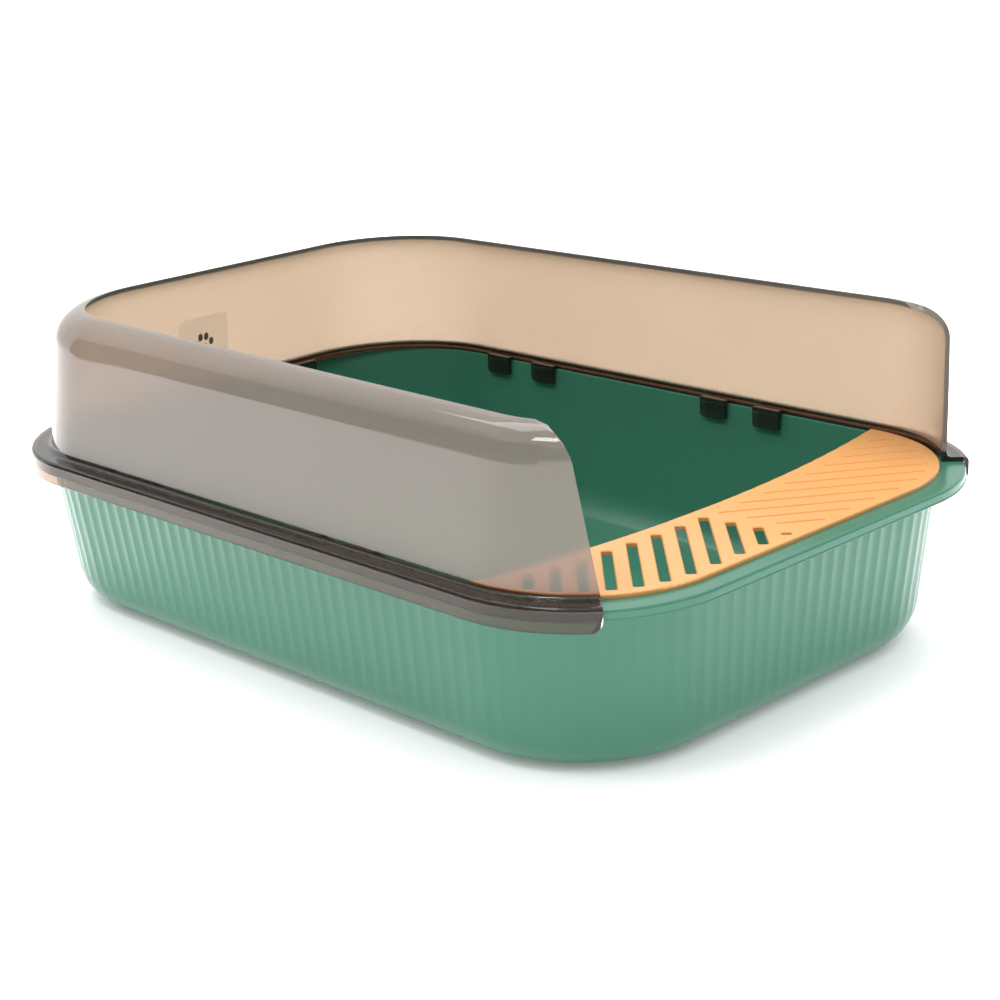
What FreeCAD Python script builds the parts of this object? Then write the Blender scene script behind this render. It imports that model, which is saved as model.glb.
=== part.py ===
"""Cat litter box with a lift-off see-through guard and a slotted entry step.

Frame: millimetres, +Z up, the open entrance faces -Y, the long sides run along Y.
The origin is on the floor, under the middle of the whole object.
"""
import FreeCAD, Part
import math
import os

V = FreeCAD.Vector

# Driving dimensions. Each outline is a rounded rectangle that may be wider at one end:
# half width at the front and at the back, y of the front and of the back, corner radius
# at the front and at the back.
HEIGHT = 174.5                          # floor to the crest of the guard
RIM_TOP = 93.1                          # floor to the tub's rim
FLANGE = (169.6, 169.6, -250.0, 250.0, 83.3, 83.3)      # outside of the guard's flange
RIM_INSET = 2.3                         # the tub's rim lies this far inside the guard's skirt

# Tub
TUB_WALL = 2.6
TUB_FLOOR = 3.0
TUB_TOP = (159.4, 159.4, -236.1, 245.1, 82.0, 82.0)     # outside of the wall at rim height
TUB_FOOT = (149.6, 149.6, -226.3, 235.3, 78.0, 78.0)    # the same wall carried to the floor
TUB_BOTTOM_ROUND = 24.0
RIM_THICK = 2.4
RIM_LIP_DROP = 5.4                      # height of the rim's turned-down lip
RIM_LIP_THICK = 2.2
RIM_EDGE_ROUND = 1.4

# Guard
GUARD_WALL = 2.5
GUARD_FOOT = (160.0, 160.0, -238.8, 238.8, 76.5, 76.5)  # outside of the wall at rim height
GUARD_TOP = (160.0, 153.0, -238.8, 230.5, 65.5, 80.0)   # the same wall carried to the crest
SHOULDER_ROUND = 17.0
FLANGE_THICK = 2.4
SKIRT_BOTTOM = 83.0
SKIRT_THICK = 2.0
SKIRT_EDGE_ROUND = 2.2
FLANGE_ROOT_ROUND = 3.0
CUT_ANGLE = 48.4                        # where the front edge stands on the corner, from the side
CUT_RAKE_START = 97.0
CUT_RAKE_ANGLE = 9.4                    # how far the front edge leans back
CUT_TOP_ROUND = 19.5
CUT_TOP_OVER = 0.6                      # the top round passes this far over the crest
CUT_SKIRT_ROUND = 6.0
TAB_WIDTH = 19.0
TAB_DEPTH = 9.5                         # how far a tab hangs below the rim
TAB_THICK = 2.0
TAB_REACH = 5.2                         # from the guard's wall to the inside face of a tab
TAB_MIDDLE_Y = 28.0
TAB_SPACING = (71.0, 111.0)             # side tabs, from that middle
BACK_TAB_X = 65.0
MARK_RADIUS = 1.8                       # a round ejector mark on each front end of the flange
MARK_DEPTH = 0.4
MARK_PLACE = (145.5, -215.5)

# Step
STEP = (156.6, 156.6, -236.7, 236.7, 77.0, 77.0)
STEP_THICK = 2.2
STEP_END_Y = (-157.4, -154.4)           # the inner edge at its -X and +X ends
STEP_MIDDLE_Y = -172.0                  # the inner edge in the middle, where it bows forward
STEP_EDGE_ROUND = 1.1
STEP_RIB_GAP = 0.6                      # between the rib under the step and the tub's wall
STEP_RIB_THICK = 2.0
STEP_RIB_DEPTH = 5.0
PATTERN_INNER_MARGIN = 9.8
PATTERN_OUTER_MARGIN = 6.0
PATTERN_SPLIT_TOP_X = -15.4             # the line between slots and grooves leans a little
PATTERN_SPLIT_BOTTOM_X = -6.7
PATTERN_SPLIT_GAP = 9.2
SLOT_ANGLE = 45.4
SLOT_PITCH = 12.45
SLOT_WIDTH = 5.2
SLOT_FIRST = 26.8                       # distance of the first slot's line from the origin
SLOT_COUNT = 11
SLOT_CORNER = 1.2
SLOT_EDGE = 0.5                         # bevel round the top of a slot
GROOVE_ANGLE = -36.0
GROOVE_PITCH = 12.13
GROOVE_WIDTH = 1.5
GROOVE_DEPTH = 0.9
GROOVE_FIRST = 56.5
GROOVE_COUNT = 11
GROOVE_EDGE = 0.35
SHORTEST_MARK = 2.6

# Label
LABEL_SIZE = 38.0
LABEL_THICK = 0.2
LABEL_X = -13.0
LABEL_Z = 123.0

SLACK = 5.0                             # how far a cutting tool runs past what it cuts
# The guard's flange overhangs the tub at the back but not at the open front,
# so everything moves forward by half of that to put the origin under the middle.
CENTRE_SHIFT = V(0, -RIM_INSET / 2, 0)


def even(half_x, half_y, corner):
    """An outline of equal ends about the origin."""
    return half_x, half_x, -half_y, half_y, corner, corner


def inset(outline, distance):
    """The outline moved in by a distance all round."""
    front_x, back_x, front_y, back_y, front_corner, back_corner = outline
    return (front_x - distance, back_x - distance, front_y + distance, back_y - distance,
            front_corner - distance, back_corner - distance)


def outline_wire(outline, z):
    """A rounded rectangle, wider at one end if its half widths differ, as a closed wire."""
    front_x, back_x, front_y, back_y, front_corner, back_corner = outline
    slant = math.atan2(front_x - back_x, back_y - front_y)

    def corner_points(sx, sy, corner):
        centre_y = front_y + corner if sy < 0 else back_y - corner
        side_x = front_x + (back_x - front_x) * (centre_y - front_y) / (back_y - front_y)
        centre_x = side_x - corner / math.cos(slant)
        middle = (slant + sy * math.pi / 2) / 2
        turns = (slant, middle, sy * math.pi / 2)
        points = [V(sx * (centre_x + corner * math.cos(t)), centre_y + corner * math.sin(t), z)
                  for t in turns]
        return points if sx * sy > 0 else points[::-1]

    edges = []
    for sx, sy, corner in ((1, 1, back_corner), (-1, 1, back_corner),
                           (-1, -1, front_corner), (1, -1, front_corner)):
        points = corner_points(sx, sy, corner)
        if edges:
            edges.append(Part.makeLine(edges[-1].Vertexes[-1].Point, points[0]))
        edges.append(Part.Arc(*points).toShape())
    edges.append(Part.makeLine(edges[-1].Vertexes[-1].Point, edges[0].Vertexes[0].Point))
    return Part.Wire(edges)


def plate(outline, bottom, top):
    """A straight-sided solid on an outline."""
    face = Part.Face(outline_wire(outline, bottom))
    return face.extrude(V(0, 0, top - bottom))


def drafted(bottom_outline, bottom, top_outline, top):
    """A solid whose sides lean from one outline to another."""
    wires = [outline_wire(bottom_outline, bottom), outline_wire(top_outline, top)]
    return Part.makeLoft(wires, True, True)


def blend(low, high, share):
    """An outline part of the way from one to another."""
    return tuple(a + (b - a) * share for a, b in zip(low, high))


def edges_at(shape, z):
    """The edges that lie wholly at one height."""
    return [e for e in shape.Edges
            if abs(e.BoundBox.ZMin - z) < 1e-4 and abs(e.BoundBox.ZMax - z) < 1e-4]


def tub_outline(z):
    """The outside of the tub's wall at one height, above its rounded bottom."""
    return blend(TUB_FOOT, TUB_TOP, z / RIM_TOP)


def make_tub():
    """The open tub: drafted walls, large rounds at the bottom and a turned-down rim."""
    body = drafted(TUB_FOOT, 0, TUB_TOP, RIM_TOP)
    body = body.makeFillet(TUB_BOTTOM_ROUND, edges_at(body, 0))

    rim_outline = inset(FLANGE, RIM_INSET)
    rim = plate(rim_outline, RIM_TOP - RIM_LIP_DROP, RIM_TOP)
    under_rim = plate(inset(rim_outline, RIM_LIP_THICK), RIM_TOP - RIM_LIP_DROP - SLACK,
                      RIM_TOP - RIM_THICK)
    rim = rim.cut(under_rim)
    rim = rim.makeFillet(RIM_EDGE_ROUND, edges_at(rim, RIM_TOP))

    inside_top = inset(blend(TUB_FOOT, TUB_TOP, (RIM_TOP + SLACK) / RIM_TOP), TUB_WALL)
    inside_floor = inset(tub_outline(TUB_FLOOR), TUB_WALL)
    hollow = drafted(inside_floor, TUB_FLOOR, inside_top, RIM_TOP + SLACK)
    hollow = hollow.makeFillet(TUB_BOTTOM_ROUND - TUB_WALL, edges_at(hollow, TUB_FLOOR))
    return body.fuse(rim).cut(hollow).removeSplitter()


def guard_outline(z):
    """The outside of the guard's wall at one height, below its rounded shoulder."""
    return blend(GUARD_FOOT, GUARD_TOP, (z - RIM_TOP) / (HEIGHT - RIM_TOP))


def guard_inside(depth):
    """The space inside the guard's wall, this far in from its outside face."""
    foot = RIM_TOP - SLACK
    crest = HEIGHT - depth
    space = drafted(inset(guard_outline(foot), depth), foot, inset(guard_outline(crest), depth), crest)
    return space.makeFillet(SHOULDER_ROUND - depth, edges_at(space, crest))


def front_cut(side):
    """What the open front takes off one side: a raked edge with a round at the top."""
    angle = math.radians(CUT_ANGLE)
    across = V(side * math.cos(angle), -math.sin(angle), 0)      # out through the corner
    back = V(side * math.sin(angle), math.cos(angle), 0)         # along the wall, backwards
    half_x, _, front_y, back_y, corner, _ = GUARD_FOOT
    foot = V(side * (half_x - corner), front_y + corner, 0) + across * corner

    rake = math.radians(CUT_RAKE_ANGLE)
    turn = math.pi / 2 - rake
    centre_z = HEIGHT + CUT_TOP_OVER - CUT_TOP_ROUND
    round_start_z = centre_z + CUT_TOP_ROUND * math.sin(rake)
    centre_t = (round_start_z - CUT_RAKE_START) * math.tan(rake) + CUT_TOP_ROUND * math.cos(rake)
    far = 2 * CUT_TOP_ROUND + back_y
    low, high = SKIRT_BOTTOM - SLACK, HEIGHT + CUT_TOP_ROUND

    def at(t, z):
        return foot + back * t + V(0, 0, z) - across * half_x

    def on_top_round(share):
        swept = math.pi - rake - turn * share
        return at(centre_t + CUT_TOP_ROUND * math.cos(swept), centre_z + CUT_TOP_ROUND * math.sin(swept))

    bend = CUT_SKIRT_ROUND * (1 - math.sqrt(0.5))
    outline = [
        Part.makeLine(at(-far, low), at(CUT_SKIRT_ROUND, low)),
        Part.makeLine(at(CUT_SKIRT_ROUND, low), at(CUT_SKIRT_ROUND, SKIRT_BOTTOM)),
        Part.Arc(at(CUT_SKIRT_ROUND, SKIRT_BOTTOM), at(bend, SKIRT_BOTTOM + bend),
                 at(0, SKIRT_BOTTOM + CUT_SKIRT_ROUND)).toShape(),
        Part.makeLine(at(0, SKIRT_BOTTOM + CUT_SKIRT_ROUND), at(0, CUT_RAKE_START)),
        Part.makeLine(at(0, CUT_RAKE_START), on_top_round(0)),
        Part.Arc(on_top_round(0), on_top_round(0.5), on_top_round(1)).toShape(),
        Part.makeLine(on_top_round(1), at(centre_t, high)),
        Part.makeLine(at(centre_t, high), at(-far, high)),
        Part.makeLine(at(-far, high), at(-far, low)),
    ]
    tool = Part.Face(Part.Wire(outline)).extrude(across * (half_x + far))
    this_half = Part.makeBox(far, 2 * far, high, V(0 if side > 0 else -far, -2 * far, 0))
    return tool.common(this_half)


def make_tab(wall_x):
    """One locating tab, its back against a wall at +X, centred on Y."""
    inner = wall_x - TAB_REACH
    arm = Part.makeBox(TAB_REACH + GUARD_WALL / 2, TAB_WIDTH, FLANGE_THICK,
                       V(inner, -TAB_WIDTH / 2, RIM_TOP))
    leg = Part.makeBox(TAB_THICK, TAB_WIDTH, TAB_DEPTH + FLANGE_THICK,
                       V(inner, -TAB_WIDTH / 2, RIM_TOP - TAB_DEPTH))
    tab = arm.fuse(leg).removeSplitter()
    corners = [e for e in tab.Edges
               if abs(e.BoundBox.ZMax - (RIM_TOP - TAB_DEPTH)) < 1e-4 and e.BoundBox.XLength > 1]
    return tab.makeFillet(TAB_THICK, corners)


def make_tabs():
    """Four tabs inside each long side and two inside the back."""
    inside = inset(guard_outline(RIM_TOP), GUARD_WALL)
    side_tab = make_tab(inside[0])
    end_tab = make_tab(inside[3])
    tabs = []
    for turn, side in ((0, 1), (180, -1)):
        for spacing in TAB_SPACING:
            for offset in (-spacing, spacing):
                tab = side_tab.copy()
                tab.rotate(V(0, 0, 0), V(0, 0, 1), turn)
                tab.translate(V(0, TAB_MIDDLE_Y + offset, 0))
                tabs.append(tab)
        back = end_tab.copy()
        back.rotate(V(0, 0, 0), V(0, 0, 1), 90)
        back.translate(V(side * BACK_TAB_X, 0, 0))
        tabs.append(back)
    return tabs


def make_guard():
    """The see-through guard: a wall with a rolled-in shoulder on a flange that caps the rim."""
    shell = guard_inside(0)
    shell = shell.cut(plate(inset(FLANGE, -SLACK), RIM_TOP - 2 * SLACK, RIM_TOP))

    flange_top = RIM_TOP + FLANGE_THICK
    flange = plate(FLANGE, SKIRT_BOTTOM, flange_top)
    flange = flange.cut(plate(inset(FLANGE, SKIRT_THICK), SKIRT_BOTTOM - SLACK, RIM_TOP))
    flange = flange.makeFillet(SKIRT_EDGE_ROUND, edges_at(flange, flange_top))

    guard = flange.fuse(shell)
    root = [e for e in edges_at(guard, flange_top) if is_outline(e, guard_outline(flange_top))]
    guard = guard.makeFillet(FLANGE_ROOT_ROUND, root)
    crest = inset(guard_outline(HEIGHT), SHOULDER_ROUND)
    guard = guard.cut(guard_inside(GUARD_WALL)).cut(plate(crest, HEIGHT / 2, HEIGHT + SLACK))
    marks = [Part.makeCylinder(MARK_RADIUS, SLACK, V(side * MARK_PLACE[0], MARK_PLACE[1],
                                                     flange_top - MARK_DEPTH)) for side in (-1, 1)]
    guard = guard.cut([front_cut(1), front_cut(-1)] + marks)
    return guard.fuse(make_tabs()).removeSplitter()


def is_outline(edge, outline):
    """Whether an edge lies on an outline at its own height."""
    middle = edge.valueAt((edge.FirstParameter + edge.LastParameter) / 2)
    return outline_wire(outline, middle.z).distToShape(Part.Vertex(middle))[0] < 0.05


def step_face(margin, inner_margin, z):
    """The step's outline at one height, moved in by margins."""
    outer = Part.Face(outline_wire(inset(STEP, margin), z))
    half_x = STEP[0]
    far = 2 * half_x
    left, middle, right = (V(x, y - inner_margin, z) for x, y in
                           ((-half_x, STEP_END_Y[0]), (0, STEP_MIDDLE_Y), (half_x, STEP_END_Y[1])))
    corners = [right, V(far, right.y, z), V(far, far, z), V(-far, far, z), V(-far, left.y, z), left]
    sides = [Part.makeLine(a, b) for a, b in zip(corners, corners[1:])]
    return outer.cut(Part.Face(Part.Wire([Part.Arc(left, middle, right).toShape()] + sides)))


def pattern_zone(side, z):
    """Where slots (-1) or grooves (+1) may lie on the step."""
    zone = step_face(PATTERN_OUTER_MARGIN, PATTERN_INNER_MARGIN, z)
    top_y, bottom_y = STEP_MIDDLE_Y, STEP[2]
    lean = (PATTERN_SPLIT_BOTTOM_X - PATTERN_SPLIT_TOP_X) / (top_y - bottom_y)
    far = 2 * STEP[0]

    def split(y):
        x = PATTERN_SPLIT_TOP_X + (top_y - y) * lean
        return V(x + side * PATTERN_SPLIT_GAP / 2, y, z)

    high, low = split(0), split(2 * bottom_y)
    half = Part.makePolygon([high, low, V(side * far, low.y, z), V(side * far, high.y, z), high])
    return zone.common(Part.Face(half))


def mark_lines(zone, angle, first, pitch, count, z):
    """Evenly spaced slanted lines, trimmed to a zone, as pairs of end points."""
    along = V(math.cos(math.radians(angle)), math.sin(math.radians(angle)), 0)
    across = V(along.y, -along.x, 0)
    reach = 3 * STEP[0]
    lines = []
    for number in range(count):
        middle = across * (first + pitch * number) + V(0, 0, z)
        line = Part.makeLine(middle - along * reach, middle + along * reach)
        for piece in line.common(zone).Edges:
            if piece.Length > SHORTEST_MARK:
                lines.append((piece.Vertexes[0].Point, piece.Vertexes[-1].Point))
    return lines


def bar(start, end, width, corner, edge, depth):
    """A tool for a slot or groove along a line: straight sides with a bevel at the surface."""
    run = end - start
    outline = even(run.Length / 2, width / 2, corner)
    tool = plate(outline, -depth, SLACK).fuse(drafted(outline, -edge, inset(outline, -edge), 0))
    tool.rotate(V(0, 0, 0), V(0, 0, 1), math.degrees(math.atan2(run.y, run.x)))
    tool.translate((start + end) / 2)
    return tool


def make_step():
    """The entry step: a plate with drain slots on one half and grip grooves on the other."""
    top = RIM_TOP + STEP_THICK
    body = step_face(0, 0, RIM_TOP).extrude(V(0, 0, STEP_THICK))
    body = body.makeFillet(STEP_EDGE_ROUND, edges_at(body, top))

    tub_inside = inset(tub_outline(RIM_TOP - STEP_RIB_DEPTH), TUB_WALL + STEP_RIB_GAP)
    rib_bottom = RIM_TOP - STEP_RIB_DEPTH
    rib = plate(tub_inside, rib_bottom, RIM_TOP + STEP_THICK / 2)
    rib = rib.cut(plate(inset(tub_inside, STEP_RIB_THICK), rib_bottom - SLACK, top))
    under_step = step_face(0, STEP_RIB_THICK, rib_bottom - SLACK).extrude(V(0, 0, STEP_RIB_DEPTH + 2 * SLACK))
    body = body.fuse(rib.common(under_step)).removeSplitter()

    slots = mark_lines(pattern_zone(-1, top), SLOT_ANGLE, SLOT_FIRST, SLOT_PITCH, SLOT_COUNT, top)
    grooves = mark_lines(pattern_zone(1, top), GROOVE_ANGLE, GROOVE_FIRST, GROOVE_PITCH, GROOVE_COUNT, top)
    tools = [bar(a, b, SLOT_WIDTH, SLOT_CORNER, SLOT_EDGE, 2 * SLACK) for a, b in slots]
    tools += [bar(a, b, GROOVE_WIDTH, GROOVE_WIDTH * 0.45, GROOVE_EDGE, GROOVE_DEPTH) for a, b in grooves]
    return body.cut(tools)


def make_label():
    """A thin clear square label on the inside of the guard's back wall."""
    skin = guard_inside(GUARD_WALL).cut(guard_inside(GUARD_WALL + LABEL_THICK))
    patch = Part.makeBox(LABEL_SIZE, GUARD_FOOT[3], LABEL_SIZE,
                         V(LABEL_X - LABEL_SIZE / 2, 0, LABEL_Z - LABEL_SIZE / 2))
    return skin.common(patch)


def main():
    os.makedirs("parts", exist_ok=True)
    pieces = {"tub": make_tub(), "guard": make_guard(), "entry_step": make_step(), "label": make_label()}
    for name, shape in pieces.items():
        solids = shape.Solids
        if len(solids) != 1 or not shape.isValid():
            raise RuntimeError(name + " is not one valid solid")
        solid = solids[0]
        solid.translate(CENTRE_SHIFT)
        solid.exportStep("parts/" + name + ".step")
        box = solid.BoundBox
        print(name, "volume %.1f cm3" % (solid.Volume / 1000), "x %.1f..%.1f y %.1f..%.1f z %.1f..%.1f" % (
            box.XMin, box.XMax, box.YMin, box.YMax, box.ZMin, box.ZMax))


main()
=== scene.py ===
"""Looks for a cat litter box: fluted tub, smoke-brown guard, slotted entry step and a clear label."""

import math

import bmesh
import bpy
import numpy as np
from mathutils import Matrix, Vector


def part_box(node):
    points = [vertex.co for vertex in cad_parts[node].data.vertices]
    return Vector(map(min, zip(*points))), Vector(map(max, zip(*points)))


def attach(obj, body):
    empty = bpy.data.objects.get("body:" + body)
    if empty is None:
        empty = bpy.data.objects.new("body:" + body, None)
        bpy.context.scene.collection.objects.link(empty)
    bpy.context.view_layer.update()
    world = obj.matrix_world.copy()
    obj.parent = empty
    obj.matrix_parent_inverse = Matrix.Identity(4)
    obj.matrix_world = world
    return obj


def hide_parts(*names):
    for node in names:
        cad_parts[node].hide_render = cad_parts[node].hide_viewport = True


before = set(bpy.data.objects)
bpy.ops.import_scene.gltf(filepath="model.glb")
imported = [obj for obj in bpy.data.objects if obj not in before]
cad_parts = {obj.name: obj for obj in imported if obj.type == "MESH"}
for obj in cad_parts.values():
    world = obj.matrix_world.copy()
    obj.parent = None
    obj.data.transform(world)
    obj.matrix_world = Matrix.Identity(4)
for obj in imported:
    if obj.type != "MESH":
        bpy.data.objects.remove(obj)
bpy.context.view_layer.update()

MM = 0.001

# Camera
CAMERA_AZIMUTH = math.radians(-43.52)
CAMERA_ELEVATION = math.radians(17.84)
CAMERA_ROLL = math.radians(-2.87)
CAMERA_DISTANCE = 1.05897
CAMERA_TARGET = Vector((-0.07149, -0.0930, 0.1))
CAMERA_LENS = 75.254
SENSOR = 36.0

# Tub outlines, in millimetres: half width, half length, corner radius, middle y
TUB_TOP = (159.4, 240.6, 82.0, 4.5)
TUB_FOOT = (149.6, 230.8, 78.0, 4.5)
RIM = (167.3, 247.7, 81.0, 0.0)
FIT_SHIFT_Y = -1.15
RIM_TOP = 93.1
RIM_THICK = 2.4
LIP_DROP = 5.4
LIP_THICK = 2.2
LIP_BEAD = 0.35
RIM_ROUND = 1.4
INNER_EDGE_ROUND = 0.9
TUB_WALL = 2.6
TUB_FLOOR = 3.0
BOTTOM_ROUND = 24.0
FLUTES = 150
FLUTE_SAMPLES = 10
FLUTE_DEPTH = 0.55
FLUTE_POWER = 1.7
FLUTE_FADE = (7.0, 34.0)

# Guard outlines, in millimetres: half width in front and behind, front y and back y, front and back corners
FLANGE = (169.6, 169.6, -250.0, 250.0, 83.3, 83.3)
GUARD_FOOT = (160.0, 160.0, -238.8, 238.8, 76.5, 76.5)
GUARD_TOP = (160.0, 153.0, -238.8, 230.5, 65.5, 80.0)
GUARD_HEIGHT = 174.5
GUARD_WALL = 2.5
SHOULDER_ROUND = 17.0
FLANGE_TOP = 95.5
FLANGE_ROOT_ROUND = 3.0
SKIRT_BOTTOM = 83.0
SKIRT_THICK = 2.0
SKIRT_EDGE_ROUND = 2.2
SOFT_EDGE = 0.35
CUT_ANGLE = math.radians(48.4)
CUT_RAKE_START = 97.0
CUT_RAKE_ANGLE = math.radians(9.4)
CUT_TOP_ROUND = 19.5
CUT_TOP_OVER = 0.6
CUT_SKIRT_ROUND = 6.0
GUARD_STATIONS = 260
TAB_WIDTH = 19.0
TAB_BOTTOM = 83.6
TAB_THICK = 2.0
TAB_REACH = 5.2
TAB_MIDDLE_Y = 28.0
TAB_OFFSETS = (-111.0, -71.0, 71.0, 111.0)
BACK_TAB_X = 65.0

# Label film, in millimetres: how far it stands off the guard's wall, its thickness and its corners
FILM_GAP = 0.12
FILM_THICK = 0.15
FILM_CORNER = 4.0

# Paw mark: x, z, half width and half height of each pad from the label's middle, in millimetres
PAW_PADS = ((0.0, -2.2, 4.6, 3.6), (-6.0, 2.0, 1.7, 2.3), (-2.2, 5.6, 1.8, 2.5),
            (2.2, 5.6, 1.8, 2.5), (6.0, 2.0, 1.7, 2.3))
PAD_STEPS = 32
PAW_LIFT = 0.00012
PAW_THICK = 0.00004

SHARP_ANGLE = math.radians(35)
TUB_SHARP_ANGLE = math.radians(40)

# Opaque plastics: colours, ranges of roughness and the moulded skin
GREEN = (0.06, 0.235, 0.155)
GREEN_ROUGHNESS = (0.20, 0.26)
PEACH = (0.93, 0.45, 0.15)
PEACH_ROUGHNESS = (0.29, 0.34)
INK = (0.20, 0.15, 0.10)
SKIN_HEIGHT = 0.000004
SKIN_GRAIN = 220.0

# See-through plastic: its tint, its haze on the wall, the skirt's haze darkened as painted shade, and where
# the frosting starts
SMOKE = (0.44, 0.24, 0.035)
SMOKE_DENSITY = 400.0
HAZE = (0.76, 0.68, 0.60)
# Painted shade: below this height the skirt and tabs get a darker haze colour, standing in for the shade
# behind and under them
SKIRT_PAINTED_SHADE = (0.50, 0.39, 0.33)
PAINTED_SHADE_TO_Z = 0.0925
FROST_FROM_Z = 0.0985
GLOSS_ROUGHNESS = (0.03, 0.06)
FROST_ROUGHNESS = (0.250, 0.266)
CLARITY = (0.97, 0.76)                  # how much light passes below and above the start of the frosting
INSIDE_FACE = -0.02                     # a face looks inwards where its outward measure is below this
FILM_ALPHA = 0.10

# Studio, in metres
FLOOR_HALF = 14.0
FLOOR_GLOW = 0.18
FLOOR_SUN = 2.0
FLOOR_BACK = 28.0
FLOOR_BACK_PLACE, FLOOR_BACK_AIM, FLOOR_BACK_SIZE = (0.7, 0.8, 1.0), (0.7, 0.8, 0.0), (1.4, 1.4)
KEY_POWER = 3.5
KEY_PLACE, KEY_SIZE = (-0.69, -0.15, 1.21), (0.36, 0.24)
TOP_POWER = 8.5
TOP_PLACE, TOP_SIZE = (0.3, 0.5, 1.5), (1.2, 0.8)
LIGHT_AIM = (0, 0, 0.1)
FLAG = (-0.75, -0.3, 1.6, 0.75)         # x, first y, last y and height
FAR_SIDE = (0.69, 0.72, 0.0)
FAR_SIDE_EDGE = (0.1, 0.5)
OVERHEAD = (0.0, 0.0, 1.0)
OVERHEAD_EDGE = (0.5, 0.66)
STUDIO_LEVELS = (0.2, 1.15)
BACKDROP_LEVEL = 1.0


# ---------------------------------------------------------------- meshes

def outline_samples(count):
    """Where each point of a loop lies on a rounded rectangle: (quarter, along the corner or the straight)."""
    half_x, half_y, corner, _ = TUB_TOP
    pieces = []
    for quarter in range(4):
        pieces.append((quarter, "arc", corner * math.pi / 2))
        straight = 2 * (half_x - corner) if quarter % 2 == 0 else 2 * (half_y - corner)
        pieces.append((quarter, "line", straight))
    lengths = np.array([p[2] for p in pieces])
    ends = np.cumsum(lengths)
    at = (np.arange(count) + 0.5) / count * ends[-1]
    index = np.searchsorted(ends, at, side="right")
    share = (at - (ends[index] - lengths[index])) / lengths[index]
    return [pieces[i][0] for i in index], [pieces[i][1] == "arc" for i in index], share


QUARTERS, ON_ARC, SHARES = outline_samples(FLUTES * FLUTE_SAMPLES)


def loop(outline, z, flute=0.0):
    """A loop of points on a rounded rectangle at height z, fluted inwards by a depth."""
    half_x, half_y, corner, middle_y = outline
    corner = max(corner, 0.0)
    cx, cy = half_x - corner, half_y - corner
    signs = ((1, 1), (-1, 1), (-1, -1), (1, -1))
    quarter = np.array(QUARTERS)
    arc = np.array(ON_ARC)
    angle = (quarter + np.where(arc, SHARES, 1.0)) * math.pi / 2
    nx, ny = np.cos(angle), np.sin(angle)
    sx = np.array([s[0] for s in signs])[quarter]
    sy = np.array([s[1] for s in signs])[quarter]
    x = sx * cx + corner * nx
    y = sy * cy + corner * ny
    after = (quarter + 1) % 4
    sx2 = np.array([s[0] for s in signs])[after]
    sy2 = np.array([s[1] for s in signs])[after]
    end_x, end_y = sx2 * cx + corner * nx, sy2 * cy + corner * ny
    run = np.where(arc, 0.0, SHARES)
    x = x + (end_x - x) * run
    y = y + (end_y - y) * run
    if flute:
        phase = (np.arange(len(x)) + 0.5) / FLUTE_SAMPLES % 1.0
        dip = flute * (1.0 - np.abs(2 * phase - 1) ** FLUTE_POWER)
        x, y = x - nx * dip, y - ny * dip
    return np.column_stack((x, y + middle_y + FIT_SHIFT_Y, np.full(len(x), z))) * MM


def inset(outline, distance):
    half_x, half_y, corner, middle_y = outline
    return half_x - distance, half_y - distance, corner - distance, middle_y


def blend(low, high, share):
    return tuple(a + (b - a) * share for a, b in zip(low, high))


def tub_wall(z):
    return blend(TUB_FOOT, TUB_TOP, z / RIM_TOP)


def rounded_wall(depth, floor, radius, steps):
    """Rows from the floor, round the bottom edge and up to the wall: (inset from the wall's outline, z)."""
    lean = math.atan2(TUB_TOP[0] - TUB_FOOT[0], RIM_TOP)
    foot = tub_wall(floor)[0] - depth
    centre = foot + radius * math.tan(lean) - radius / math.cos(lean)
    rows = []
    for step in range(steps + 1):
        turn = (math.pi / 2 - lean) * step / steps
        x = centre + radius * math.sin(turn)
        z = floor + radius * (1 - math.cos(turn))
        rows.append((tub_wall(z)[0] - x, z))
    return rows


def flute_at(z):
    low, high = FLUTE_FADE
    t = min(max((z - low) / (high - low), 0.0), 1.0)
    return FLUTE_DEPTH * t * t * (3 - 2 * t)


def grid_mesh(name, rows, centre_low, centre_high):
    """A closed mesh from loops of points, capped by a centre point at each end."""
    count = len(rows[0])
    points = np.vstack(rows + [centre_low[None], centre_high[None]])
    first, last = len(points) - 2, len(points) - 1
    ring = np.arange(count)
    after = (ring + 1) % count
    faces = [np.column_stack((ring, after, after + count, ring + count)) + count * r
             for r in range(len(rows) - 1)]
    quads = np.vstack(faces)
    top = count * (len(rows) - 1)
    fan_low = np.column_stack((after, ring, np.full(count, first)))
    fan_high = np.column_stack((ring + top, after + top, np.full(count, last)))
    mesh = bpy.data.meshes.new(name)
    mesh.vertices.add(len(points))
    mesh.vertices.foreach_set("co", points.ravel())
    corners = np.concatenate((quads.ravel(), fan_low.ravel(), fan_high.ravel()))
    sizes = np.concatenate((np.full(len(quads), 4), np.full(2 * count, 3)))
    mesh.loops.add(len(corners))
    mesh.loops.foreach_set("vertex_index", corners)
    mesh.polygons.add(len(sizes))
    mesh.polygons.foreach_set("loop_start", np.concatenate(([0], np.cumsum(sizes)[:-1])))
    mesh.update(calc_edges=True)
    mesh.validate()
    mesh.shade_smooth()
    return mesh


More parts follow.
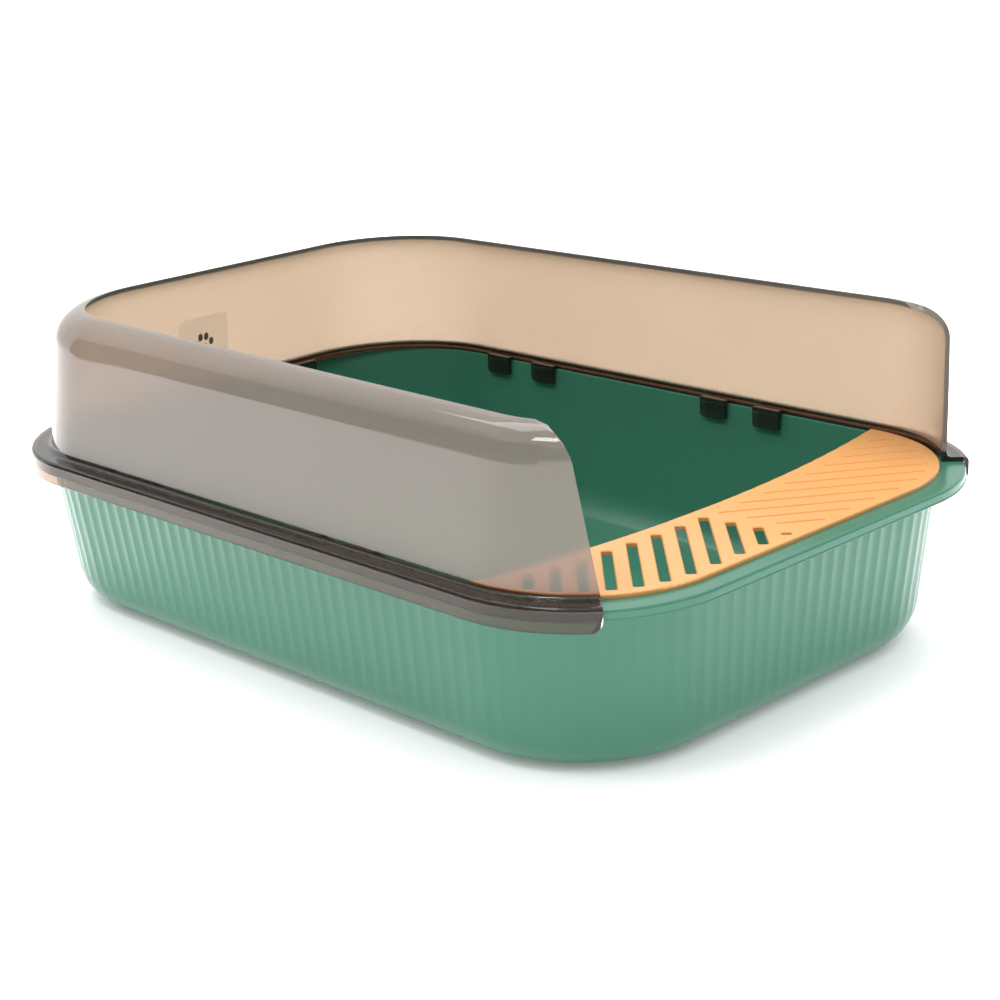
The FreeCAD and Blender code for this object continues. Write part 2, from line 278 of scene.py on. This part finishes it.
def tub_mesh():
    rows = []

    def add(outline, z, flute=0.0):
        rows.append(loop(outline, z, flute))

    for share in (0.2, 0.5, 0.8):
        low = inset(tub_wall(0), rounded_wall(0, 0, BOTTOM_ROUND, 1)[0][0])
        add(tuple(v * share for v in low[:3]) + (low[3],), 0)
    for back, z in rounded_wall(0, 0, BOTTOM_ROUND, 14):
        add(inset(tub_wall(z), back), z, flute_at(z))
    under = RIM_TOP - RIM_THICK
    for z in np.linspace(z, under, 16)[1:]:
        add(tub_wall(z), z, flute_at(z))
    lip_bottom = RIM_TOP - LIP_DROP
    inner_lip = inset(RIM, LIP_THICK)
    add(inset(tub_wall(under), -0.8), under + 0.05)
    add(inset(inner_lip, 0.5), under)
    add(inner_lip, under - 0.5)
    add(inner_lip, lip_bottom + 0.3)
    add(inset(inner_lip, -0.3), lip_bottom)
    add(inset(RIM, -LIP_BEAD + 0.3), lip_bottom)
    add(inset(RIM, -LIP_BEAD), lip_bottom + 0.25)
    add(inset(RIM, -LIP_BEAD), lip_bottom + 0.7)
    add(inset(RIM, 0.0), lip_bottom + 1.1)
    add(RIM, RIM_TOP - RIM_ROUND - 0.6)
    for step in range(9):
        turn = math.pi / 2 * step / 8
        add(inset(RIM, RIM_ROUND * (1 - math.cos(turn))), RIM_TOP - RIM_ROUND * (1 - math.sin(turn)))
    opening = inset(tub_wall(RIM_TOP), TUB_WALL)
    add(blend(inset(RIM, RIM_ROUND), inset(opening, -INNER_EDGE_ROUND), 0.3), RIM_TOP)
    add(inset(opening, -INNER_EDGE_ROUND - 0.5), RIM_TOP)
    for step in range(6):
        turn = math.pi / 2 * step / 5
        add(inset(opening, -INNER_EDGE_ROUND * (1 - math.sin(turn))),
            RIM_TOP - INNER_EDGE_ROUND * (1 - math.cos(turn)))
    inner = rounded_wall(TUB_WALL, TUB_FLOOR, BOTTOM_ROUND - TUB_WALL, 14)
    for z in np.linspace(RIM_TOP - 3.0, inner[-1][1], 8)[:-1]:
        add(inset(tub_wall(z), TUB_WALL), z)
    for back, z in reversed(inner):
        add(inset(tub_wall(z), back), z)
    low = inset(tub_wall(TUB_FLOOR), inner[0][0])
    for share in (0.8, 0.5, 0.2):
        add(tuple(v * share for v in low[:3]) + (low[3],), TUB_FLOOR)
    middle = np.array((0.0, (TUB_FOOT[3] + FIT_SHIFT_Y) * MM, 0.0))
    mesh = grid_mesh("tub_shell", rows, middle, middle + np.array((0, 0, TUB_FLOOR * MM)))
    mesh.set_sharp_from_angle(angle=TUB_SHARP_ANGLE)
    return mesh


def inset_guard(outline, distance):
    front_x, back_x, front_y, back_y, front_corner, back_corner = outline
    return (front_x - distance, back_x - distance, front_y + distance, back_y - distance,
            front_corner - distance, back_corner - distance)


def guard_wall(z):
    return blend(GUARD_FOOT, GUARD_TOP, (z - RIM_TOP) / (GUARD_HEIGHT - RIM_TOP))


def half_ring(outline, along):
    """Points on the +X half of an outline, from the middle of the front (0) to the middle of the back (1)."""
    front_x, back_x, front_y, back_y, front_corner, back_corner = outline
    slant = math.atan2(front_x - back_x, back_y - front_y)

    def corner_centre(y, corner):
        side_x = front_x + (back_x - front_x) * (y - front_y) / (back_y - front_y)
        return np.array((side_x - corner / math.cos(slant), y))

    front = corner_centre(front_y + front_corner, front_corner)
    back = corner_centre(back_y - back_corner, back_corner)
    side = np.array((math.cos(slant), math.sin(slant)))
    stops = np.array((0.0, 0.12, 0.30, 0.70, 0.88, 1.0))
    piece = np.clip(np.searchsorted(stops, along, side="right") - 1, 0, 4)
    share = (along - stops[piece]) / (stops[piece + 1] - stops[piece])
    points = np.empty((len(along), 2))
    lines = {0: ((0.0, front_y), (front[0], front_y)), 4: ((back[0], back_y), (0.0, back_y)),
             2: (front + front_corner * side, back + back_corner * side)}
    for number, (start, end) in lines.items():
        here = piece == number
        points[here] = np.array(start) + share[here, None] * (np.array(end) - np.array(start))
    for number, centre, corner, first, last in ((1, front, front_corner, -math.pi / 2, slant),
                                                (3, back, back_corner, slant, math.pi / 2)):
        here = piece == number
        turn = first + share[here] * (last - first)
        points[here] = centre + corner * np.column_stack((np.cos(turn), np.sin(turn)))
    return points


def cut_depth(z):
    """How far back the open front's edge stands at a height, along the corner's wall."""
    if z < SKIRT_BOTTOM + CUT_SKIRT_ROUND:
        rise = SKIRT_BOTTOM + CUT_SKIRT_ROUND - z
        return CUT_SKIRT_ROUND - math.sqrt(max(CUT_SKIRT_ROUND ** 2 - rise ** 2, 0.0))
    centre_z = GUARD_HEIGHT + CUT_TOP_OVER - CUT_TOP_ROUND
    round_start = centre_z + CUT_TOP_ROUND * math.sin(CUT_RAKE_ANGLE)
    if z < round_start:
        return max(z - CUT_RAKE_START, 0.0) * math.tan(CUT_RAKE_ANGLE)
    raked_back = (round_start - CUT_RAKE_START) * math.tan(CUT_RAKE_ANGLE)
    centre = raked_back + CUT_TOP_ROUND * math.cos(CUT_RAKE_ANGLE)
    return centre - math.sqrt(max(CUT_TOP_ROUND ** 2 - (z - centre_z) ** 2, 0.0))


def guard_row(outline, z):
    """One line of the guard's surface, from the +X front edge round the back to the -X front edge."""
    across = np.array((math.cos(CUT_ANGLE), -math.sin(CUT_ANGLE)))
    back = np.array((math.sin(CUT_ANGLE), math.cos(CUT_ANGLE)))
    half_x, _, front_y, _, corner, _ = GUARD_FOOT
    foot = np.array((half_x - corner, front_y + corner)) + across * corner
    trial = np.linspace(0.0, 0.5, 2001)
    start = np.interp(cut_depth(z), (half_ring(outline, trial) - foot) @ back, trial)
    half = half_ring(outline, np.linspace(start, 1.0, GUARD_STATIONS))
    other = half[-2::-1] * (-1, 1)
    flat = np.vstack((half, other))
    return np.column_stack((flat[:, 0], flat[:, 1] + FIT_SHIFT_Y, np.full(len(flat), z))) * MM


def quarter_turn(steps):
    return [math.pi / 2 * step / steps for step in range(steps + 1)]


def shoulder(depth, turns):
    """The rolled-in shoulder at a depth below the outside face."""
    radius = SHOULDER_ROUND - depth
    centre_z = GUARD_HEIGHT - SHOULDER_ROUND
    for turn in turns:
        z = centre_z + radius * math.sin(turn)
        yield inset_guard(guard_wall(z), depth + radius * (1 - math.cos(turn))), z


def rim_section():
    """Inside the skirt, round its bottom and over the flange to the foot of the wall: (outline, z)."""
    top, edge, root = FLANGE_TOP, SKIRT_EDGE_ROUND, FLANGE_ROOT_ROUND
    soft_z = SKIRT_BOTTOM + SOFT_EDGE
    section = [(inset_guard(FLANGE, SKIRT_THICK), z) for z in np.linspace(RIM_TOP, soft_z, 5)]
    section += [(inset_guard(FLANGE, SKIRT_THICK - SOFT_EDGE), SKIRT_BOTTOM),
                (inset_guard(FLANGE, SOFT_EDGE), SKIRT_BOTTOM)]
    section += [(FLANGE, z) for z in np.linspace(soft_z, top - edge, 6)]
    section += [(inset_guard(FLANGE, edge * (1 - math.cos(turn))), top - edge + edge * math.sin(turn))
                for turn in quarter_turn(8)[1:]]
    landing = inset_guard(guard_wall(top), -root)
    section += [(blend(inset_guard(FLANGE, edge), landing, share), top) for share in (0.3, 0.6, 1.0)]
    for turn in quarter_turn(6)[1:-1]:
        z = top + root * (1 - math.cos(turn))
        section.append((inset_guard(guard_wall(z), -root * (1 - math.sin(turn))), z))
    return section


def guard_mesh():
    """The guard as one closed shell: flange and skirt, wall, and rolled-in shoulder, open at the front."""
    rim = rim_section()
    heights = list(np.linspace(FLANGE_TOP + FLANGE_ROOT_ROUND, GUARD_HEIGHT - SHOULDER_ROUND, 14)[:-1])
    turns = quarter_turn(20)
    outer = [(guard_wall(z), z) for z in heights] + list(shoulder(0.0, turns))
    inner = [(inset_guard(guard_wall(z), GUARD_WALL), z) for z in [RIM_TOP] + heights[1:]]
    inner += list(shoulder(GUARD_WALL, turns))

    section = rim + outer + inner[::-1]
    rows = [guard_row(outline, z) for outline, z in section]
    stations = len(rows[0])
    shape = bmesh.new()
    grid = [[shape.verts.new(point) for point in row] for row in rows]
    for a in range(len(grid)):
        b = (a + 1) % len(grid)
        for k in range(stations - 1):
            shape.faces.new((grid[a][k], grid[a][k + 1], grid[b][k + 1], grid[b][k]))
    # Each front edge is closed by a strip between the wall's faces and one face over the rim's section.
    first_wall, count = len(rim), len(outer)
    for end in (0, stations - 1):
        for step in range(count - 1):
            a, b = first_wall + step, first_wall + step + 1
            c, d = len(grid) - 2 - step, len(grid) - 1 - step
            shape.faces.new([grid[i][end] for i in (a, b, c, d)])
        shape.faces.new([grid[i][end] for i in list(range(first_wall + 1)) + [len(grid) - 1]])
    return finished("guard_shell", shape)


def finished(name, shape):
    """A mesh with its faces turned outwards, shaded smooth except at sharp edges."""
    bmesh.ops.recalc_face_normals(shape, faces=shape.faces)
    mesh = bpy.data.meshes.new(name)
    shape.to_mesh(mesh)
    shape.free()
    mesh.shade_smooth()
    mesh.set_sharp_from_angle(angle=SHARP_ANGLE)
    return mesh


def add_prism(shape, outline, low, high, put):
    """A closed prism on an outline in (along, z), from one depth to another, placed by a function."""
    near = [shape.verts.new(put(low, along, z)) for along, z in outline]
    far = [shape.verts.new(put(high, along, z)) for along, z in outline]
    shape.faces.new(near)
    shape.faces.new(far[::-1])
    for a in range(len(outline)):
        b = (a + 1) % len(outline)
        shape.faces.new((near[b], near[a], far[a], far[b]))


def tabs_mesh():
    """The guard's locating tabs: four inside each long side and two inside the back."""
    half, bottom = TAB_WIDTH / 2, TAB_BOTTOM
    leg = [(half, FLANGE_TOP), (-half, FLANGE_TOP)]
    for side, turns in ((-1, quarter_turn(5)), (1, quarter_turn(5)[::-1])):
        leg += [(side * (half - TAB_THICK + TAB_THICK * math.cos(t)),
                 bottom + TAB_THICK - TAB_THICK * math.sin(t)) for t in turns]
    arm = [(half, FLANGE_TOP), (-half, FLANGE_TOP), (-half, RIM_TOP), (half, RIM_TOP)]
    wall_x, wall_y = GUARD_FOOT[0] - GUARD_WALL, GUARD_FOOT[3] - GUARD_WALL
    shape = bmesh.new()

    def on_side(side, y):
        return lambda depth, along, z: Vector((side * (wall_x - depth), y + along + FIT_SHIFT_Y, z)) * MM

    def on_back(x):
        return lambda depth, along, z: Vector((x + along, wall_y - depth + FIT_SHIFT_Y, z)) * MM

    places = [on_side(side, TAB_MIDDLE_Y + offset) for side in (-1, 1) for offset in TAB_OFFSETS]
    places += [on_back(side * BACK_TAB_X) for side in (-1, 1)]
    for put in places:
        add_prism(shape, leg, TAB_REACH, TAB_REACH - TAB_THICK, put)
        add_prism(shape, arm, TAB_REACH - TAB_THICK, 0.0, put)
    return finished("guard_tabs", shape)


def film_mesh(low, high):
    """The label's clear film, with rounded corners, just off the guard's back wall."""
    middle_x, middle_z = (low.x + high.x) / 2 / MM, (low.z + high.z) / 2 / MM
    reach_x = (high.x - low.x) / 2 / MM - FILM_CORNER
    reach_z = (high.z - low.z) / 2 / MM - FILM_CORNER
    outline = []
    for number, (side_x, side_z) in enumerate(((1, 1), (-1, 1), (-1, -1), (1, -1))):
        outline += [(middle_x + side_x * reach_x + FILM_CORNER * math.cos(turn + number * math.pi / 2),
                     middle_z + side_z * reach_z + FILM_CORNER * math.sin(turn + number * math.pi / 2))
                    for turn in quarter_turn(6)]

    def on_wall(depth, x, z):
        face_y = inset_guard(guard_wall(z), GUARD_WALL)[3]
        return Vector((x, face_y - depth + FIT_SHIFT_Y, z)) * MM

    shape = bmesh.new()
    add_prism(shape, outline, FILM_GAP + FILM_THICK, FILM_GAP, on_wall)
    return finished("label_film", shape)


def paw_mesh(low, high):
    """A small paw of five thin pads, printed on the label's face, which leans back towards its foot."""
    middle_x, middle_z = (low.x + high.x) / 2, (low.z + high.z) / 2
    lean = (high.y - low.y) / (high.z - low.z)
    face_y = (low.y + high.y) / 2
    shape = bmesh.new()
    for x, z, half_width, half_height in PAW_PADS:
        rim = []
        for step in range(PAD_STEPS):
            turn = 2 * math.pi * step / PAD_STEPS
            px = middle_x + (x + half_width * math.cos(turn)) * MM
            pz = middle_z + (z + half_height * math.sin(turn)) * MM
            rim.append(Vector((px, face_y - lean * (pz - middle_z) - PAW_LIFT, pz)))
        lower = [shape.verts.new(point) for point in rim]
        upper = [shape.verts.new(point - Vector((0, PAW_THICK, 0))) for point in rim]
        shape.faces.new(lower)
        shape.faces.new(reversed(upper))
        for a in range(PAD_STEPS):
            b = (a + 1) % PAD_STEPS
            shape.faces.new((lower[b], lower[a], upper[a], upper[b]))
    return finished("paw_mark", shape)


def place(mesh, body, slot):
    piece = bpy.data.objects.new(mesh.name, mesh)
    bpy.context.scene.collection.objects.link(piece)
    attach(piece, body)
    return piece


# ------------------------------------------------------------- materials

class Nodes:
    """A small helper that makes a material's nodes and joins them."""

    def __init__(self, name):
        self.material = bpy.data.materials.new(name)
        self.material.use_nodes = True
        self.tree = self.material.node_tree
        self.tree.nodes.clear()
        self.output = self.add("OutputMaterial")
        self.shader = self.add("BsdfPrincipled")
        self.join(self.shader, "BSDF", self.output, "Surface")
        self.place = self.add("TexCoord")

    def add(self, kind, **settings):
        node = self.tree.nodes.new("ShaderNode" + kind)
        for key, value in settings.items():
            setattr(node, key, value)
        return node

    def join(self, source, out, target, into):
        self.tree.links.new(source.outputs[out], target.inputs[into])

    def set(self, **values):
        for key, value in values.items():
            self.shader.inputs[key.replace("_", " ")].default_value = value

    def noise(self, scale, detail=3.0, roughness=0.5):
        node = self.add("TexNoise")
        node.inputs["Scale"].default_value = scale
        node.inputs["Detail"].default_value = detail
        node.inputs["Roughness"].default_value = roughness
        self.join(self.place, "Object", node, "Vector")
        return node

    def maths(self, operation, source, out, *numbers):
        node = self.add("Math", operation=operation)
        for index, number in enumerate(numbers, 1):
            node.inputs[index].default_value = number
        self.join(source, out, node, "Value")
        return node

    def spread(self, source, low, high, out="Fac"):
        node = self.add("MapRange")
        node.inputs["From Min"].default_value = 0.3
        node.inputs["From Max"].default_value = 0.7
        node.inputs["To Min"].default_value = low
        node.inputs["To Max"].default_value = high
        self.join(source, out, node, "Value")
        return node

    def tones(self, source, low, high):
        node = self.add("Mix", data_type="RGBA")
        node.inputs["A"].default_value = (*low, 1)
        node.inputs["B"].default_value = (*high, 1)
        self.join(source, "Result", node, "Factor")
        return node

    def bump(self, source, height, out="Fac"):
        node = self.add("Bump")
        node.inputs["Strength"].default_value = 1.0
        node.inputs["Distance"].default_value = height
        self.join(source, out, node, "Height")
        self.join(node, "Normal", self.shader, "Normal")
        return node


def shade(colour, factor):
    return tuple(c * factor for c in colour)


def moulded(name, colour, variation, rough):
    """Opaque moulded plastic: faint clouding of colour, uneven gloss and a fine skin."""
    n = Nodes(name)
    clouds = n.spread(n.noise(9.0), 0.0, 1.0)
    tone = n.tones(clouds, shade(colour, 1 - variation), shade(colour, 1 + variation))
    n.join(tone, "Result", n.shader, "Base Color")
    n.join(n.spread(n.noise(60.0, 4.0), *rough), "Result", n.shader, "Roughness")
    n.bump(n.noise(SKIN_GRAIN, 2.0), SKIN_HEIGHT)
    n.set(IOR=1.49)
    return n.material


def smoke_plastic():
    """See-through smoke-brown plastic: tinted through its thickness, frosted inside the wall, with painted
    shade darkening the skirt.
    """
    n = Nodes("smoke_plastic")
    clouds = n.spread(n.noise(7.0), 0.0, 1.0)
    height = n.add("SeparateXYZ")
    n.join(n.place, "Object", height, "Vector")
    wall_tone = n.tones(clouds, shade(HAZE, 0.97), shade(HAZE, 1.03))
    # Painted shade: the skirt's darker haze colour stands in for the shade cast behind and under it
    painted_shade_tone = n.tones(clouds, shade(SKIRT_PAINTED_SHADE, 0.97), shade(SKIRT_PAINTED_SHADE, 1.03))
    tone = n.add("Mix", data_type="RGBA")
    n.join(n.maths("GREATER_THAN", height, "Z", PAINTED_SHADE_TO_Z), "Value", tone, "Factor")
    n.join(painted_shade_tone, "Result", tone, "A")
    n.join(wall_tone, "Result", tone, "B")
    n.join(tone, "Result", n.shader, "Base Color")

    facing = n.maths("MULTIPLY_ADD", n.add("NewGeometry"), "Backfacing", -2.0, 1.0)
    outward = n.add("VectorMath", operation="DOT_PRODUCT")
    flat = n.add("VectorMath", operation="MULTIPLY")
    flat.inputs[1].default_value = (1, 1, 0)
    n.join(n.place, "Object", flat, "Vector")
    n.join(flat, "Vector", outward, "Vector")
    n.tree.links.new(n.place.outputs["Normal"], outward.inputs[1])
    signed = n.add("Math", operation="MULTIPLY")
    n.join(outward, "Value", signed, "Value")
    n.tree.links.new(facing.outputs["Value"], signed.inputs[1])
    inside = n.maths("LESS_THAN", signed, "Value", INSIDE_FACE)
    above = n.maths("GREATER_THAN", height, "Z", FROST_FROM_Z)
    frosted = n.add("Math", operation="MULTIPLY")
    n.join(inside, "Value", frosted, "Value")
    n.tree.links.new(above.outputs["Value"], frosted.inputs[1])

    gloss = n.spread(n.noise(40.0, 3.0), *GLOSS_ROUGHNESS)
    frost = n.spread(n.noise(60.0, 3.0), *FROST_ROUGHNESS)
    rough = n.add("Mix")
    n.join(frosted, "Value", rough, "Factor")
    n.join(gloss, "Result", rough, "A")
    n.join(frost, "Result", rough, "B")
    n.join(rough, "Result", n.shader, "Roughness")
    clear = n.add("MapRange")
    clear.inputs["To Min"].default_value, clear.inputs["To Max"].default_value = CLARITY
    n.join(above, "Value", clear, "Value")
    n.join(clear, "Result", n.shader, "Transmission Weight")
    n.set(IOR=1.5)

    tint = n.add("VolumeAbsorption")
    tint.inputs["Color"].default_value = (*SMOKE, 1)
    tint.inputs["Density"].default_value = SMOKE_DENSITY
    n.join(tint, "Volume", n.output, "Volume")
    return n.material


def clear_film():
    """Film that is all but invisible on the plastic behind it."""
    n = Nodes("clear_film")
    tone = n.tones(n.spread(n.noise(30.0), 0.0, 1.0), (0.72, 0.60, 0.48), (0.76, 0.64, 0.52))
    n.join(tone, "Result", n.shader, "Base Color")
    n.join(n.spread(n.noise(80.0), 0.15, 0.25), "Result", n.shader, "Roughness")
    n.set(Alpha=FILM_ALPHA, Specular_IOR_Level=0.1)
    return n.material


def printed_ink():
    n = Nodes("printed_ink")
    tone = n.tones(n.spread(n.noise(300.0), 0.0, 1.0), shade(INK, 0.9), shade(INK, 1.1))
    n.join(tone, "Result", n.shader, "Base Color")
    n.join(n.spread(n.noise(200.0), 0.35, 0.5), "Result", n.shader, "Roughness")
    return n.material


def wear(node_name, material):
    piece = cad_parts[node_name]
    piece.data.materials.clear()
    piece.data.materials.append(material)


# ----------------------------------------------------------------- stage

def floor():
    mesh = bpy.data.meshes.new("floor")
    corners = [(x * FLOOR_HALF, y * FLOOR_HALF, 0) for x, y in ((-1, -1), (1, -1), (1, 1), (-1, 1))]
    mesh.from_pydata(corners, [], [(0, 1, 2, 3)])
    piece = bpy.data.objects.new("floor", mesh)
    bpy.context.scene.collection.objects.link(piece)
    n = Nodes("floor_paper")
    tone = n.tones(n.spread(n.noise(3.0), 0.0, 1.0), (0.82, 0.82, 0.82), (0.84, 0.84, 0.84))
    n.join(tone, "Result", n.shader, "Base Color")
    n.set(Roughness=0.9, Specular_IOR_Level=0.1, Emission_Color=(1, 1, 1, 1), Emission_Strength=FLOOR_GLOW)
    mesh.materials.append(n.material)
    return piece


def camera():
    az, el, roll = CAMERA_AZIMUTH, CAMERA_ELEVATION, CAMERA_ROLL
    back = Vector((math.sin(az) * math.cos(el), -math.cos(az) * math.cos(el), math.sin(el)))
    right = (-back).cross(Vector((0, 0, 1))).normalized()
    up = right.cross(-back)
    turned_right = right * math.cos(roll) + up * math.sin(roll)
    turned_up = up * math.cos(roll) - right * math.sin(roll)
    data = bpy.data.cameras.new("camera")
    data.lens, data.sensor_width = CAMERA_LENS, SENSOR
    data.clip_start, data.clip_end = 0.05, 60
    seat = bpy.data.objects.new("camera", data)
    seat.matrix_world = Matrix.Translation(CAMERA_TARGET + back * CAMERA_DISTANCE) @ Matrix(
        (turned_right, turned_up, back)).transposed().to_4x4()
    bpy.context.scene.collection.objects.link(seat)
    bpy.context.scene.camera = seat


def light(name, kind, place, aim, energy):
    data = bpy.data.lights.new(name, kind)
    data.energy = energy
    lamp = bpy.data.objects.new(name, data)
    lamp.location = place
    lamp.rotation_euler = (Vector(aim) - Vector(place)).to_track_quat("-Z", "Y").to_euler()
    bpy.context.scene.collection.objects.link(lamp)
    return lamp


def softbox(name, place, aim, size, power):
    lamp = light(name, "AREA", place, aim, power)
    lamp.data.shape, lamp.data.size, lamp.data.size_y = "RECTANGLE", *size
    lamp.visible_transmission = False
    return lamp


def floor_lights(ground):
    """Soft lights that only the floor receives: one from all over, one behind the object."""
    only = bpy.data.collections.new("floor_only")
    only.objects.link(ground)
    sun = light("floor_sun", "SUN", (0, 0, 1), (0, 0, 0), FLOOR_SUN)
    sun.data.angle = math.radians(110)
    back = softbox("floor_back", FLOOR_BACK_PLACE, FLOOR_BACK_AIM, FLOOR_BACK_SIZE, FLOOR_BACK)
    for lamp in (sun, back):
        lamp.light_linking.receiver_collection = only


def flag():
    """A dark card beside the set that shows only in gloss, so the shoulder isn't washed out."""
    x, y0, y1, top = FLAG
    mesh = bpy.data.meshes.new("flag")
    mesh.from_pydata([(x, y0, 0), (x, y1, 0), (x, y1, top), (x, y0, top)], [], [(0, 1, 2, 3)])
    card = bpy.data.objects.new("flag", mesh)
    bpy.context.scene.collection.objects.link(card)
    card.visible_camera = card.visible_diffuse = card.visible_shadow = False
    card.visible_transmission = False
    n = Nodes("flag_cloth")
    tone = n.tones(n.spread(n.noise(20.0), 0.0, 1.0), (0.03, 0.03, 0.03), (0.04, 0.04, 0.04))
    n.join(tone, "Result", n.shader, "Base Color")
    n.set(Roughness=0.95, Specular_IOR_Level=0.0)
    mesh.materials.append(n.material)


def studio():
    """Light from above and from the far side, dimmer elsewhere, with a plain white backdrop."""
    world = bpy.data.worlds.new("studio")
    bpy.context.scene.world = world
    world.use_nodes = True
    tree = world.node_tree
    tree.nodes.clear()

    def add(kind, **settings):
        node = tree.nodes.new("ShaderNode" + kind)
        for key, value in settings.items():
            setattr(node, key, value)
        return node

    def lit(direction, start, full):
        side = add("VectorMath", operation="DOT_PRODUCT")
        side.inputs[1].default_value = direction
        tree.links.new(place.outputs["Generated"], side.inputs[0])
        ramp = add("MapRange", interpolation_type="SMOOTHSTEP")
        ramp.inputs["From Min"].default_value = start
        ramp.inputs["From Max"].default_value = full
        tree.links.new(side.outputs["Value"], ramp.inputs["Value"])
        return ramp.outputs["Result"]

    place = add("TexCoord")
    either = add("Math", operation="MAXIMUM")
    tree.links.new(lit(FAR_SIDE, *FAR_SIDE_EDGE), either.inputs[0])
    tree.links.new(lit(OVERHEAD, *OVERHEAD_EDGE), either.inputs[1])
    level = add("MapRange")
    level.inputs["To Min"].default_value, level.inputs["To Max"].default_value = STUDIO_LEVELS
    tree.links.new(either.outputs["Value"], level.inputs["Value"])
    sky = add("Background")
    shown = add("Mix")
    shown.inputs["B"].default_value = BACKDROP_LEVEL
    tree.links.new(add("LightPath").outputs["Is Camera Ray"], shown.inputs["Factor"])
    tree.links.new(level.outputs["Result"], shown.inputs["A"])
    tree.links.new(shown.outputs["Result"], sky.inputs["Strength"])
    sky.inputs["Color"].default_value = (1, 1, 1, 1)
    tree.links.new(sky.outputs["Background"], add("OutputWorld").inputs["Surface"])


scene = bpy.context.scene
scene.view_settings.view_transform = "Standard"
camera()
ground = floor()
studio()
flag()
floor_lights(ground)
softbox("key_box", KEY_PLACE, LIGHT_AIM, KEY_SIZE, KEY_POWER)
softbox("top_box", TOP_PLACE, LIGHT_AIM, TOP_SIZE, TOP_POWER)

tub = place(tub_mesh(), "tub", "green_plastic")
tub.data.materials.append(moulded("green_plastic", GREEN, 0.035, GREEN_ROUGHNESS))
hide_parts("tub")
smoke = smoke_plastic()
guard = place(guard_mesh(), "guard", "smoke_plastic")
guard.data.materials.append(smoke)
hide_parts("guard")
tabs = place(tabs_mesh(), "guard", "smoke_plastic")
tabs.data.materials.append(smoke)
wear("entry_step", moulded("peach_plastic", PEACH, 0.02, PEACH_ROUGHNESS))
film = place(film_mesh(*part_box("label")), "guard", "clear_film")
film.data.materials.append(clear_film())
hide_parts("label")
paw = place(paw_mesh(*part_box("label")), "guard", "clear_film")
paw.data.materials.append(printed_ink())
